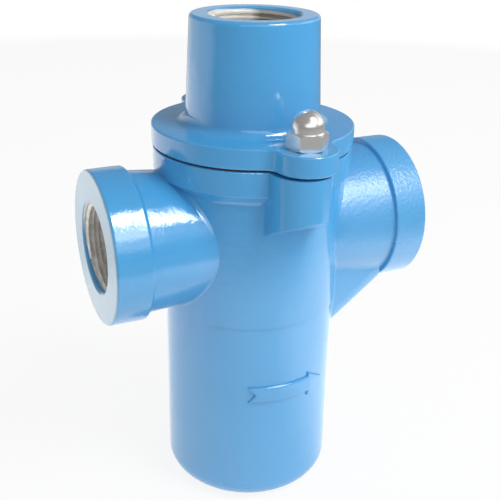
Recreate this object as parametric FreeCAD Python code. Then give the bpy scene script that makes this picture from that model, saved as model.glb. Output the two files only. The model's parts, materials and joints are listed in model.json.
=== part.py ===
import FreeCAD, Part
import math
import os

from FreeCAD import Vector

# Thermostatic steam trap with three screwed pipe connections. Millimetres, +Z up.
# The origin is the centre of the flat base, on the axis of the barrel. The two side ports lie along X,
# inlet at -X and outlet at +X. Steam and condensate enter the upper chamber, pass down through the seat
# plate into the lower chamber, flow round the thermal element and rise through the slanted passage to
# the outlet. Everything inside is one cartridge that hangs from the seat plate and lifts out at the top.

# ---- Pipe thread of all three ports, G 1 1/4: the bores are made to the thread's outer diameter ----
THREAD_R = 20.955
THREAD_LENGTH = 23.0
THREAD_CHAMFER = 0.9
PASSAGE_R = 18.0

# ---- Body casting ----
BARREL_R = 42.2
BARREL_WALL = 6.0
BASE_EDGE_R = 10.9
FLOOR_T = 8.0
FLOOR_CORNER_R = 6.0
SEAM_Z = 101.0
SEAM_STEP = 0.7
UPPER_WALL = 6.1
PORT_Z = 136.6
PORT_FACE_X = 78.7
PORT_NECK_R = 34.0
PORT_NECK_TAPER = 5.4
COLLAR_PROUD = 2.3
COLLAR_LENGTH = 16.8
COLLAR_FRONT_EDGE = 1.2
COLLAR_REAR_EDGE = 1.0
COLLAR_REAR_FILLET = 1.2
RING_PROUD = 4.1
RING_HEIGHT = 11.3
PORT_TOP_GAP = 8.25
BODY_TOP_EDGE = 0.6
CASTING_FILLET = 4.0

# ---- Slanted passage under the outlet port ----
HOOD_HALF_WIDTH = 25.0
HOOD_SLOPE = 37.3
HOOD_EDGE_R = 10.0
HOOD_WALL = 5.0
HOOD_PASSAGE_HEIGHT = 14.8

# ---- Ledge across the barrel that carries the seat plate ----
LEDGE_TOP_Z = 112.0
LEDGE_T = 8.0
LEDGE_WIDTH = 5.2

# ---- Stud lugs and ears, turned a little round from square to the ports ----
STUD_RING_OFFSET = 2.4
STUD_TURN = 2.6
STUD_R = 5.0
STUD_HOLE_DEPTH = 15.0
STUD_DEPTH_CLEARANCE = 0.5
STUD_NUT_GRIP = 11.0
EAR_HOLE_CLEARANCE = 0.5
EAR_R = 14.0
EAR_FILLET = 7.0
LUG_TURN = 0.4
LUG_R = 13.4
LUG_FILLET = 2.5
LUG_HEIGHT = 19.0
LUG_SLOPE = 28.5

# ---- Cover ----
GASKET_T = 1.0
GASKET_INSET = 1.2
FLANGE_OVERHANG = 0.5
FLANGE_T = 9.45
FLANGE_EDGE = 0.9
COVER_NECK_ROOT_R = 31.7
COVER_NECK_TOP_R = 29.4
COVER_NECK_HEIGHT = 48.8
COVER_NECK_FILLET = 4.5
COVER_NECK_EDGE = 1.6
COVER_SPIGOT_DEPTH = 5.0
COVER_SPIGOT_CLEARANCE = 0.3
COVER_SPIGOT_WALL = 6.2
COVER_HOLLOW_HEIGHT = 7.0

# ---- Dome nuts ----
NUT_ACROSS_FLATS = 16.0
NUT_HEX_HEIGHT = 7.2
NUT_HEIGHT = 16.3
NUT_DOME_R = 7.15
NUT_TURN = 40.5

# ---- Seat plate ----
SEAT_PLATE_T = 8.0
SEAT_PLATE_CLEARANCE = 0.4
SEAT_GASKET_T = 1.5
SEAT_SPIGOT_DEPTH = 4.0
SEAT_BORE_R = 12.5
SEAT_BOSS_R = 17.0
SEAT_BOSS_DEPTH = 7.5
SEAT_EDGE = 0.8
HUB_R = 7.5
RIB_T = 3.0
RIB_COUNT = 3
GUIDE_CLEARANCE = 0.06

# ---- Valve ----
VALVE_LIFT = 6.0
VALVE_CLOSED_GAP = 0.2
VALVE_R = 15.5
VALVE_T = 4.0
VALVE_NOSE_HEIGHT = 3.0
VALVE_NOSE_CLEARANCE = 0.4
VALVE_NOSE_TAPER = 1.5
VALVE_BOSS_R = 7.0
VALVE_BOSS_HEIGHT = 4.5
STEM_R = 4.0
STEM_END_MARGIN = 2.0
STEM_NUT_ACROSS_FLATS = 12.0
STEM_NUT_T = 4.0
STEM_NUT_MARGIN = 2.0
SPRING_PLATE_R = 10.0
SPRING_PLATE_T = 2.0

# ---- Return spring and the cage above the seat plate that holds its top end ----
RETURN_SPRING_R = 7.0
RETURN_WIRE_R = 0.9
RETURN_SPRING_SHUT_LENGTH = 16.0
RETURN_SPRING_TURNS = 6.0
CAGE_RING_R = 22.0
CAGE_RING_T = 3.0
CAGE_BORE_MARGIN = 1.0
CAGE_LEG_T = 3.5
CAGE_LEG_WIDTH = 4.5
CAGE_TOP_T = 4.0
CAGE_SCREW_COUNT = 3
CAGE_SCREW_R = 2.0
CAGE_SCREW_HEAD_R = 3.4
CAGE_SCREW_HEAD_T = 2.6
CAGE_SCREW_DEPTH = 6.0
CAGE_SCREW_SLOT = 0.9

# ---- Thermal element ----
ELEMENT_LENGTH = 52.0
ELEMENT_WALL = 1.6
ELEMENT_FOOT_RIM = 1.2
ELEMENT_FOOT_T = 4.0
GLAND_RIM = 3.0
GLAND_T = 6.0
GLAND_SHANK_DEPTH = 8.0
GLAND_MARGIN = 1.5
ROD_R = 3.5
ROD_SOCKET_DEPTH = 3.0
ROD_DEPTH_IN_ELEMENT = 30.0
ROD_STROKE_ROOM = 4.0
ROD_CHARGE_CLEARANCE = 0.3
SEAL_WIRE_R = 1.1
PLUG_R = 4.0
PLUG_HEAD_T = 1.5

# ---- Overtravel spring and its cup ----
OVERTRAVEL = 4.0
OVERTRAVEL_SPRING_CLEARANCE = 2.3
OVERTRAVEL_WIRE_R = 1.2
OVERTRAVEL_SPRING_SHUT_LENGTH = 10.0
OVERTRAVEL_SPRING_TURNS = 3.0
CUP_CLEARANCE = 0.3
CUP_WALL = 2.0
CUP_FLANGE_RIM = 3.5
CUP_POST_GAP = 0.7
CUP_FLANGE_T = 2.0
CUP_FLOOR_T = 2.0
CUP_RING_T = 1.2
CUP_RING_DEPTH = 0.8
CUP_RING_GAP = 0.3

# ---- Base plate hung on three posts from the seat plate ----
BASE_PLATE_LEDGE_GAP = 2.5
BASE_PLATE_T = 4.0
BASE_PLATE_HOLE_CLEARANCE = 0.2
BASE_PLATE_WINDOW_R = 13.0
BASE_PLATE_WINDOW_REACH = 5.5
POST_COUNT = 3
POST_R = 3.0
POST_LEDGE_GAP = 3.3
POST_THREAD_R = 2.5
POST_SOCKET_DEPTH = 6.0
POST_END_LENGTH = 5.0
POST_NUT_ACROSS_FLATS = 8.0
POST_NUT_T = 4.0

# ---- Strainer between the seat plate and the cover ----
SCREEN_T = 1.0
SCREEN_RING_WIDTH = 3.8
SCREEN_RING_CLEARANCE = 1.0
SCREEN_RING_T = 4.0

# ---- Lengths closer than this count as equal when edges are picked ----
SAME_LENGTH = 0.01

# ---- Radii worked out from the sizes above, from the barrel inwards and outwards ----
COLLAR_R = PORT_NECK_R + COLLAR_PROUD
CHAMBER_R = BARREL_R - BARREL_WALL
UPPER_R = BARREL_R + SEAM_STEP
UPPER_CHAMBER_R = UPPER_R - UPPER_WALL
RING_R = UPPER_R + RING_PROUD
FLANGE_R = RING_R + FLANGE_OVERHANG
STUD_CIRCLE_R = RING_R + STUD_RING_OFFSET
COVER_SPIGOT_R = UPPER_CHAMBER_R - COVER_SPIGOT_CLEARANCE
COVER_HOLLOW_R = COVER_SPIGOT_R - COVER_SPIGOT_WALL
SCREEN_RING_R = UPPER_CHAMBER_R - SCREEN_RING_CLEARANCE
SCREEN_R = SCREEN_RING_R - SCREEN_RING_WIDTH
LEDGE_BORE_R = CHAMBER_R - LEDGE_WIDTH
SEAT_SPIGOT_R = LEDGE_BORE_R - SEAT_PLATE_CLEARANCE
BASE_PLATE_R = LEDGE_BORE_R - BASE_PLATE_LEDGE_GAP
POST_CIRCLE_R = LEDGE_BORE_R - POST_LEDGE_GAP - POST_R
CUP_FLANGE_R = POST_CIRCLE_R - POST_R - CUP_POST_GAP
CUP_R = CUP_FLANGE_R - CUP_FLANGE_RIM
CUP_BORE_R = CUP_R - CUP_WALL
OVERTRAVEL_SPRING_R = CUP_BORE_R - OVERTRAVEL_WIRE_R - OVERTRAVEL_SPRING_CLEARANCE
ELEMENT_FOOT_R = CUP_BORE_R - CUP_CLEARANCE
ELEMENT_R = ELEMENT_FOOT_R - ELEMENT_FOOT_RIM
ELEMENT_BORE_R = ELEMENT_R - ELEMENT_WALL
GLAND_ACROSS_FLATS = 2 * (ELEMENT_R - GLAND_RIM)
GUIDE_R = STEM_R + GUIDE_CLEARANCE

# ---- Levels worked out from the sizes above ----
BODY_TOP_Z = PORT_Z + PORT_NECK_R + PORT_TOP_GAP
COLLAR_BACK_X = PORT_FACE_X - COLLAR_LENGTH
THREAD_END_X = PORT_FACE_X - THREAD_CHAMFER - THREAD_LENGTH
FLANGE_BOTTOM_Z = BODY_TOP_Z + GASKET_T
FLANGE_TOP_Z = FLANGE_BOTTOM_Z + FLANGE_T
COVER_TOP_Z = FLANGE_TOP_Z + COVER_NECK_HEIGHT
SPIGOT_Z = FLANGE_BOTTOM_Z - COVER_SPIGOT_DEPTH
SEAT_PLATE_Z = LEDGE_TOP_Z + SEAT_GASKET_T
SEAT_PLATE_TOP_Z = SEAT_PLATE_Z + SEAT_PLATE_T
SEAT_SPIGOT_Z = SEAT_PLATE_Z - SEAT_SPIGOT_DEPTH
SEAT_Z = SEAT_PLATE_Z - SEAT_BOSS_DEPTH
VALVE_TOP_Z = SEAT_Z - VALVE_CLOSED_GAP - VALVE_LIFT
VALVE_BOTTOM_Z = VALVE_TOP_Z - VALVE_T
VALVE_BOSS_Z = VALVE_BOTTOM_Z - VALVE_BOSS_HEIGHT
STEM_NUT_Z = SEAT_PLATE_TOP_Z + STEM_NUT_MARGIN
SPRING_PLATE_Z = STEM_NUT_Z + STEM_NUT_T
RETURN_SPRING_Z = SPRING_PLATE_Z + SPRING_PLATE_T
RETURN_SPRING_LENGTH = RETURN_SPRING_SHUT_LENGTH + VALVE_LIFT
CAGE_TOP_Z = RETURN_SPRING_Z + RETURN_SPRING_LENGTH
STEM_TOP_Z = CAGE_TOP_Z + CAGE_TOP_T + STEM_END_MARGIN
GLAND_TOP_Z = VALVE_BOSS_Z - GLAND_MARGIN
ELEMENT_TOP_Z = GLAND_TOP_Z - GLAND_T
ELEMENT_Z = ELEMENT_TOP_Z - ELEMENT_LENGTH
ROD_TOP_Z = VALVE_BOSS_Z + ROD_SOCKET_DEPTH
ROD_BOTTOM_Z = ELEMENT_TOP_Z - ROD_DEPTH_IN_ELEMENT
OVERTRAVEL_SPRING_LENGTH = OVERTRAVEL_SPRING_SHUT_LENGTH + OVERTRAVEL
CUP_FLOOR_Z = ELEMENT_Z - OVERTRAVEL_SPRING_LENGTH
CUP_RING_Z = ELEMENT_Z + ELEMENT_FOOT_T + CUP_RING_GAP
CUP_TOP_Z = CUP_RING_Z + CUP_RING_T + CUP_FLANGE_T
BASE_PLATE_TOP_Z = CUP_TOP_Z - CUP_FLANGE_T
BASE_PLATE_Z = BASE_PLATE_TOP_Z - BASE_PLATE_T


def near(value, target):
    """Whether two lengths agree to a hundredth of a millimetre."""
    return abs(value - target) < SAME_LENGTH


def rounded_edges(corners):
    """Edges of a closed outline through corners given as (point, rounding radius)."""
    spans = []
    for index, (corner, radius) in enumerate(corners):
        before = (corners[index - 1][0] - corner).normalize()
        after = (corners[(index + 1) % len(corners)][0] - corner).normalize()
        if radius == 0:
            spans.append((corner, None, corner))
            continue
        half_angle = before.getAngle(after) / 2
        setback = radius / math.tan(half_angle)
        centre = corner + (before + after).normalize() * (radius / math.sin(half_angle))
        middle = centre + (corner - centre).normalize() * radius
        spans.append((corner + before * setback, middle, corner + after * setback))
    edges = []
    for index, (start, middle, end) in enumerate(spans):
        if middle:
            edges.append(Part.Arc(start, middle, end).toShape())
        next_start = spans[(index + 1) % len(spans)][0]
        if not near(end.distanceToPoint(next_start), 0):
            edges.append(Part.LineSegment(end, next_start).toShape())
    return edges


def turned(outline):
    """Solid turned about Z from an outline of (radius, height) or (radius, height, rounding)."""
    corners = [(Vector(point[0], 0, point[1]), point[2] if len(point) > 2 else 0) for point in outline]
    face = Part.Face(Part.Wire(rounded_edges(corners)))
    return face.revolve(Vector(0, 0, 0), Vector(0, 0, 1), 360)


def tube(outer_r, inner_r, bottom_z, top_z):
    """Round tube about Z."""
    return turned([(inner_r, bottom_z), (outer_r, bottom_z), (outer_r, top_z), (inner_r, top_z)])


def rod(radius, bottom_z, top_z, x=0.0, y=0.0):
    """Round bar along Z."""
    return Part.makeCylinder(radius, top_z - bottom_z, Vector(x, y, bottom_z))


def port_turned(outline):
    """Solid turned about the axis of the side ports from an outline of (x, radius[, rounding])."""
    corners = [(Vector(point[0], 0, PORT_Z + point[1]), point[2] if len(point) > 2 else 0)
               for point in outline]
    face = Part.Face(Part.Wire(rounded_edges(corners)))
    return face.revolve(Vector(0, 0, PORT_Z), Vector(1, 0, 0), 360)


def hex_bar(across_flats, bottom_z, top_z):
    """Hexagonal bar along Z with its corners turned off at both ends."""
    corner_r = across_flats / (2 * math.cos(math.radians(30)))
    corners = [Vector(corner_r * math.cos(math.radians(60 * k)), corner_r * math.sin(math.radians(60 * k)),
                      bottom_z) for k in range(7)]
    bar = Part.Face(Part.makePolygon(corners)).extrude(Vector(0, 0, top_z - bottom_z))
    flat_r = across_flats / 2
    drop = (corner_r - flat_r) * math.tan(math.radians(30))
    return bar.common(turned([(0, bottom_z), (flat_r, bottom_z), (corner_r, bottom_z + drop),
                              (corner_r, top_z - drop), (flat_r, top_z), (0, top_z)]))


def around(shape, count, first_angle=0.0):
    """Copies of a shape, evenly spaced about Z."""
    copies = []
    for index in range(count):
        copy = shape.copy()
        copy.rotate(Vector(0, 0, 0), Vector(0, 0, 1), first_angle + index * 360 / count)
        copies.append(copy)
    return copies


def at_studs(shape):
    """Copies of a shape made about Z, moved to the two stud places."""
    moved = shape.copy()
    moved.translate(Vector(0, -STUD_CIRCLE_R, 0))
    return around(moved, 2, STUD_TURN)


def edges_on(shape, test):
    """Edges of a shape whose inner points all pass a test."""
    chosen = []
    for edge in shape.Edges:
        first, last = edge.ParameterRange
        points = [edge.valueAt(first + (last - first) * share) for share in (0.2, 0.5, 0.8)]
        if all(test(point) for point in points):
            chosen.append(edge)
    return chosen


def meeting_edges(joined, first, second):
    """Edges of a joined shape along which two of its solids meet."""
    shells = (first.Shells[0], second.Shells[0])
    return edges_on(joined, lambda point: all(
        near(shell.distToShape(Part.Vertex(point))[0], 0) for shell in shells))


def from_axis(point):
    """Distance of a point from the barrel's axis."""
    return math.hypot(point.x, point.y)


# ---- Body casting ----

def port_neck_r(x):
    """Radius of a port's neck, which narrows from its collar towards the barrel."""
    return PORT_NECK_R - (COLLAR_BACK_X - x) * math.tan(math.radians(PORT_NECK_TAPER))


def port_neck():
    """Neck of the outlet port, solid from the barrel's axis to the back of the collar."""
    return port_turned([(0, 0), (0, port_neck_r(0)), (COLLAR_BACK_X, PORT_NECK_R), (COLLAR_BACK_X, 0)])


def port_collar():
    """Collar round the outlet port, with rounded edges and a fillet onto the neck."""
    root_x = COLLAR_BACK_X - COLLAR_REAR_FILLET
    return port_turned([(root_x, 0), (root_x, port_neck_r(root_x)),
                        (COLLAR_BACK_X, PORT_NECK_R, COLLAR_REAR_FILLET),
                        (COLLAR_BACK_X, COLLAR_R, COLLAR_REAR_EDGE),
                        (PORT_FACE_X, COLLAR_R, COLLAR_FRONT_EDGE), (PORT_FACE_X, 0)])


def mirrored(shape):
    """The same shape on the inlet side."""
    return shape.mirror(Vector(0, 0, 0), Vector(1, 0, 0))


def slanted_prism(inset, half_width, edge_r, upper_line, end_x):
    """Prism along the slanted passage: its underside is set in from the hood's and rises outwards."""
    slope = math.tan(math.radians(HOOD_SLOPE))
    start_x = CHAMBER_R / 2
    underside_end = PORT_Z - PORT_NECK_R + inset / math.cos(math.radians(HOOD_SLOPE))
    low_start = Vector(start_x, -half_width, underside_end - (COLLAR_BACK_X - start_x) * slope)
    low_end = Vector(end_x, -half_width, underside_end - (COLLAR_BACK_X - end_x) * slope)
    high_end = Vector(end_x, -half_width, upper_line(low_end))
    high_start = Vector(start_x, -half_width, upper_line(low_start))
    outline = Part.makePolygon([low_start, low_end, high_end, high_start, low_start])
    prism = Part.Face(outline).extrude(Vector(0, 2 * half_width, 0))
    underside = edges_on(prism, lambda point: near(abs(point.y), half_width) and near(
        point.z, low_start.z + (point.x - start_x) * slope))
    return prism.makeFillet(edge_r, underside)


def hood():
    """Outer shape of the slanted passage, from the barrel to the back of the outlet collar."""
    return slanted_prism(0, HOOD_HALF_WIDTH, HOOD_EDGE_R, lambda low: PORT_Z, COLLAR_BACK_X)


def hood_passage():
    """Hollow of the slanted passage, from the lower chamber to the outlet pocket."""
    return slanted_prism(HOOD_WALL, HOOD_HALF_WIDTH - HOOD_WALL, HOOD_EDGE_R - HOOD_WALL,
                         lambda low: low.z + HOOD_PASSAGE_HEIGHT, THREAD_END_X)


def lug():
    """Stud lug at -Y: it grows out of the barrel and its underside slants up to the front."""
    block = rod(LUG_R, SEAM_Z, BODY_TOP_Z, y=-STUD_CIRCLE_R).fuse(
        Part.makeBox(2 * LUG_R, STUD_CIRCLE_R, BODY_TOP_Z - SEAM_Z, Vector(-LUG_R, -STUD_CIRCLE_R, SEAM_Z)))
    joined = block.fuse(rod(UPPER_R, SEAM_Z, BODY_TOP_Z)).removeSplitter()
    roots = edges_on(joined, lambda point: near(from_axis(point), UPPER_R) and near(abs(point.x), LUG_R)
                     and point.y < 0)
    joined = joined.makeFillet(LUG_FILLET, roots)
    front_y = -STUD_CIRCLE_R - LUG_R
    front_z = BODY_TOP_Z - LUG_HEIGHT
    rise = math.tan(math.radians(LUG_SLOPE)) * -front_y
    below = Part.makePolygon([Vector(-UPPER_R, 0, front_z - rise), Vector(-UPPER_R, front_y, front_z),
                              Vector(-UPPER_R, front_y, 0), Vector(-UPPER_R, 0, 0),
                              Vector(-UPPER_R, 0, front_z - rise)])
    return joined.cut(Part.Face(below).extrude(Vector(2 * UPPER_R, 0, 0)))


def body_outside():
    """Outside of the casting: barrel, ports, hood, upper ring and stud lugs."""
    barrel = turned([(0, 0), (BARREL_R, 0, BASE_EDGE_R), (BARREL_R, BODY_TOP_Z), (0, BODY_TOP_Z)])
    outlet_neck = port_neck()
    inlet_neck = mirrored(outlet_neck)
    passage = hood()
    core = barrel.fuse([outlet_neck, inlet_neck, passage]).removeSplitter()
    meetings = [(barrel, outlet_neck), (barrel, inlet_neck), (barrel, passage), (outlet_neck, passage)]
    core = core.makeFillet(CASTING_FILLET, sum([meeting_edges(core, *pair) for pair in meetings], []))
    ring_foot_z = BODY_TOP_Z - RING_HEIGHT
    sleeve = turned([(0, SEAM_Z), (UPPER_R, SEAM_Z), (UPPER_R, ring_foot_z - (RING_R - UPPER_R), LUG_FILLET),
                     (RING_R, ring_foot_z, BODY_TOP_EDGE), (RING_R, BODY_TOP_Z, BODY_TOP_EDGE),
                     (0, BODY_TOP_Z)])
    collars = [port_collar(), mirrored(port_collar())]
    return core.fuse(collars + [sleeve] + around(lug(), 2, LUG_TURN))


def body_hollow():
    """Chambers, port bores and slanted passage of the casting."""
    ledge_bottom_z = LEDGE_TOP_Z - LEDGE_T
    chambers = turned([(0, FLOOR_T), (CHAMBER_R, FLOOR_T, FLOOR_CORNER_R), (CHAMBER_R, ledge_bottom_z),
                       (LEDGE_BORE_R, ledge_bottom_z), (LEDGE_BORE_R, LEDGE_TOP_Z),
                       (UPPER_CHAMBER_R, LEDGE_TOP_Z), (UPPER_CHAMBER_R, BODY_TOP_Z), (0, BODY_TOP_Z)])
    mouth_x = PORT_FACE_X - THREAD_CHAMFER
    port_bore = port_turned([(0, 0), (0, PASSAGE_R), (THREAD_END_X, PASSAGE_R), (THREAD_END_X, THREAD_R),
                             (mouth_x, THREAD_R), (PORT_FACE_X, THREAD_R + THREAD_CHAMFER),
                             (PORT_FACE_X, 0)])
    outlet_pocket = port_bore.cut(rod(UPPER_R, SEAM_Z, BODY_TOP_Z))
    return chambers.fuse([mirrored(port_bore), outlet_pocket, hood_passage()])


def body():
    """One-piece cast body."""
    holes = at_studs(rod(STUD_R, BODY_TOP_Z - STUD_HOLE_DEPTH, BODY_TOP_Z))
    return body_outside().cut([body_hollow()] + holes)


# ---- Cover and its fastenings ----

def cover():
    """Cover with two ears, a locating spigot and a tapered neck threaded inside."""
    plate = rod(FLANGE_R, FLANGE_BOTTOM_Z, FLANGE_TOP_Z).fuse(at_studs(
        rod(EAR_R, FLANGE_BOTTOM_Z, FLANGE_TOP_Z))).removeSplitter()
    plate = plate.makeFillet(EAR_FILLET, edges_on(
        plate, lambda point: near(from_axis(point), FLANGE_R) and FLANGE_BOTTOM_Z < point.z < FLANGE_TOP_Z))
    plate = plate.makeFillet(FLANGE_EDGE, edges_on(
        plate, lambda point: near(point.z, FLANGE_TOP_Z) or near(point.z, FLANGE_BOTTOM_Z)))
    neck = turned([(0, SPIGOT_Z), (COVER_SPIGOT_R, SPIGOT_Z), (COVER_SPIGOT_R, FLANGE_TOP_Z - FLANGE_EDGE),
                   (COVER_NECK_ROOT_R + 2 * COVER_NECK_FILLET, FLANGE_TOP_Z - FLANGE_EDGE),
                   (COVER_NECK_ROOT_R + 2 * COVER_NECK_FILLET, FLANGE_TOP_Z),
                   (COVER_NECK_ROOT_R, FLANGE_TOP_Z, COVER_NECK_FILLET),
                   (COVER_NECK_TOP_R, COVER_TOP_Z, COVER_NECK_EDGE), (0, COVER_TOP_Z)])
    hollow_top_z = SPIGOT_Z + COVER_HOLLOW_HEIGHT
    cone_top_z = hollow_top_z + COVER_HOLLOW_R - PASSAGE_R
    mouth_z = COVER_TOP_Z - THREAD_CHAMFER
    hollow = turned([(0, SPIGOT_Z), (COVER_HOLLOW_R, SPIGOT_Z), (COVER_HOLLOW_R, hollow_top_z),
                     (PASSAGE_R, cone_top_z), (PASSAGE_R, mouth_z - THREAD_LENGTH),
                     (THREAD_R, mouth_z - THREAD_LENGTH), (THREAD_R, mouth_z),
                     (THREAD_R + THREAD_CHAMFER, COVER_TOP_Z), (0, COVER_TOP_Z)])
    holes = at_studs(rod(STUD_R + EAR_HOLE_CLEARANCE, FLANGE_BOTTOM_Z, FLANGE_TOP_Z))
    return plate.fuse(neck).cut([hollow] + holes)


def cover_gasket():
    """Flat ring between the body's top face and the cover."""
    return tube(RING_R - GASKET_INSET, UPPER_CHAMBER_R, BODY_TOP_Z, FLANGE_BOTTOM_Z).cut(
        at_studs(rod(STUD_R + EAR_HOLE_CLEARANCE, BODY_TOP_Z, FLANGE_BOTTOM_Z)))


def cover_studs():
    """Two studs, screwed into the lugs and reaching into the dome nuts."""
    bottom_z = BODY_TOP_Z - STUD_HOLE_DEPTH + STUD_DEPTH_CLEARANCE
    return Part.makeCompound(at_studs(rod(STUD_R, bottom_z, FLANGE_TOP_Z + STUD_NUT_GRIP)))


def dome_nut():
    """Hexagonal dome nut standing on the cover's ear, about Z."""
    top_z = FLANGE_TOP_Z + NUT_HEIGHT
    hexagon_top_z = FLANGE_TOP_Z + NUT_HEX_HEIGHT
    dome = turned([(0, FLANGE_TOP_Z), (NUT_DOME_R, FLANGE_TOP_Z), (NUT_DOME_R, top_z, NUT_DOME_R * 0.98),
                   (0, top_z)])
    nut = hex_bar(NUT_ACROSS_FLATS, FLANGE_TOP_Z, hexagon_top_z).fuse(dome)
    nut.rotate(Vector(0, 0, 0), Vector(0, 0, 1), NUT_TURN)
    return nut.cut(rod(STUD_R, FLANGE_TOP_Z, FLANGE_TOP_Z + STUD_NUT_GRIP + STUD_DEPTH_CLEARANCE))


def cap_nuts():
    """The two dome nuts."""
    return Part.makeCompound(at_studs(dome_nut()))


# ---- Seat plate ----

def post_places(shape):
    """Copies of a shape made about Z, moved to the posts."""
    moved = shape.copy()
    moved.translate(Vector(POST_CIRCLE_R, 0, 0))
    return around(moved, POST_COUNT)


def cage_screw_places(shape):
    """Copies of a shape made about Z, moved to the spring cage's screws, between its legs."""
    moved = shape.copy()
    moved.translate(Vector((CAGE_RING_R + SEAT_BORE_R + CAGE_BORE_MARGIN) / 2, 0, 0))
    return around(moved, CAGE_SCREW_COUNT, 180 / CAGE_SCREW_COUNT)


def seat_plate():
    """Plate with the valve seat on its underside and a ribbed guide hub across its bore."""
    outside = turned([(0, SEAT_Z), (SEAT_BOSS_R, SEAT_Z), (SEAT_BOSS_R, SEAT_SPIGOT_Z),
                      (SEAT_SPIGOT_R, SEAT_SPIGOT_Z), (SEAT_SPIGOT_R, SEAT_PLATE_Z),
                      (UPPER_CHAMBER_R - SEAT_PLATE_CLEARANCE, SEAT_PLATE_Z),
                      (UPPER_CHAMBER_R - SEAT_PLATE_CLEARANCE, SEAT_PLATE_TOP_Z), (0, SEAT_PLATE_TOP_Z)])
    bore = turned([(0, SEAT_Z), (SEAT_BORE_R + SEAT_EDGE, SEAT_Z), (SEAT_BORE_R, SEAT_Z + SEAT_EDGE),
                   (SEAT_BORE_R, SEAT_PLATE_TOP_Z), (0, SEAT_PLATE_TOP_Z)])
    ribs = around(Part.makeBox(SEAT_BORE_R + SEAT_EDGE, RIB_T, SEAT_PLATE_T,
                               Vector(0, -RIB_T / 2, SEAT_PLATE_Z)), RIB_COUNT)
    ring = outside.cut(bore)
    spider = rod(HUB_R, SEAT_PLATE_Z, SEAT_PLATE_TOP_Z).fuse(ribs)
    guide = rod(GUIDE_R, SEAT_PLATE_Z, SEAT_PLATE_TOP_Z)
    sockets = post_places(rod(POST_THREAD_R, SEAT_SPIGOT_Z, SEAT_SPIGOT_Z + POST_SOCKET_DEPTH))
    screw_holes = cage_screw_places(rod(CAGE_SCREW_R, SEAT_PLATE_TOP_Z - CAGE_SCREW_DEPTH, SEAT_PLATE_TOP_Z))
    return ring.fuse(spider).removeSplitter().cut([guide] + sockets + screw_holes)


def seat_gasket():
    """Flat ring between the ledge and the seat plate."""
    return tube(UPPER_CHAMBER_R - SEAT_PLATE_CLEARANCE, LEDGE_BORE_R, LEDGE_TOP_Z, SEAT_PLATE_Z)


# ---- Valve ----

def valve_disc():
    """Valve disc with a tapered nose above and a socket for the push rod below."""
    nose_r = SEAT_BORE_R - VALVE_NOSE_CLEARANCE
    nose_z = VALVE_TOP_Z + VALVE_NOSE_HEIGHT
    disc = turned([(0, VALVE_BOSS_Z), (VALVE_BOSS_R, VALVE_BOSS_Z), (VALVE_BOSS_R, VALVE_BOTTOM_Z),
                   (VALVE_R, VALVE_BOTTOM_Z), (VALVE_R, VALVE_TOP_Z), (nose_r, VALVE_TOP_Z),
                   (nose_r - VALVE_NOSE_TAPER, nose_z), (0, nose_z)])
    return disc.cut([rod(ROD_R, VALVE_BOSS_Z, ROD_TOP_Z), rod(STEM_R, VALVE_BOTTOM_Z, nose_z)])


def valve_stem():
    """Stem from the valve disc up through the hub and the top of the spring cage."""
    return turned([(0, VALVE_BOTTOM_Z), (STEM_R, VALVE_BOTTOM_Z), (STEM_R, STEM_TOP_Z, STEM_R / 4),
                   (0, STEM_TOP_Z)])


def stem_nut():
    """Nut on the stem that carries the spring plate."""
    return hex_bar(STEM_NUT_ACROSS_FLATS, STEM_NUT_Z, SPRING_PLATE_Z).cut(
        rod(STEM_R, STEM_NUT_Z, SPRING_PLATE_Z))


def spring_plate():
    """Plate that takes the lower end of the return spring, with a rim that centres it."""
    rim_z = RETURN_SPRING_Z + RETURN_WIRE_R
    inner_rim_r = SPRING_PLATE_R - SPRING_PLATE_T / 2
    return turned([(STEM_R, SPRING_PLATE_Z), (SPRING_PLATE_R, SPRING_PLATE_Z), (SPRING_PLATE_R, rim_z),
                   (inner_rim_r, rim_z), (inner_rim_r, RETURN_SPRING_Z), (STEM_R, RETURN_SPRING_Z)])


def coil(mean_r, wire_r, bottom_z, length, turns):
    """Helical spring between two flat seats, as one wire whose ends stop at the seats."""
    rise = length - 2 * wire_r
    path = Part.makeHelix(rise / turns, rise, mean_r)
    section = Part.Wire(Part.makeCircle(wire_r, Vector(mean_r, 0, 0), Vector(0, 1, 0)))
    spring = Part.Wire(path).makePipeShell([section], True, True)
    spring.translate(Vector(0, 0, bottom_z + wire_r))
    return spring


def return_spring():
    """Spring that pushes the valve open, from the spring plate to the top of the cage."""
    return coil(RETURN_SPRING_R, RETURN_WIRE_R, RETURN_SPRING_Z, RETURN_SPRING_LENGTH, RETURN_SPRING_TURNS)


def spring_cage():
    """Cage on the seat plate: a ring, three legs and a top that guides the stem."""
    bore_r = SEAT_BORE_R + CAGE_BORE_MARGIN
    ring_top_z = SEAT_PLATE_TOP_Z + CAGE_RING_T
    leg_outer_r = bore_r + CAGE_LEG_T
    ring = tube(CAGE_RING_R, bore_r, SEAT_PLATE_TOP_Z, ring_top_z)
    top = tube(leg_outer_r, GUIDE_R, CAGE_TOP_Z, CAGE_TOP_Z + CAGE_TOP_T)
    shell = tube(leg_outer_r, bore_r, SEAT_PLATE_TOP_Z, CAGE_TOP_Z + CAGE_TOP_T)
    legs = [shell.common(box) for box in around(Part.makeBox(
        CAGE_RING_R, CAGE_LEG_WIDTH, CAGE_TOP_Z + CAGE_TOP_T - SEAT_PLATE_TOP_Z,
        Vector(0, -CAGE_LEG_WIDTH / 2, SEAT_PLATE_TOP_Z)), CAGE_SCREW_COUNT)]
    return ring.fuse([top] + legs).removeSplitter().cut(cage_screw_places(
        rod(CAGE_SCREW_R, SEAT_PLATE_TOP_Z, ring_top_z)))


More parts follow.
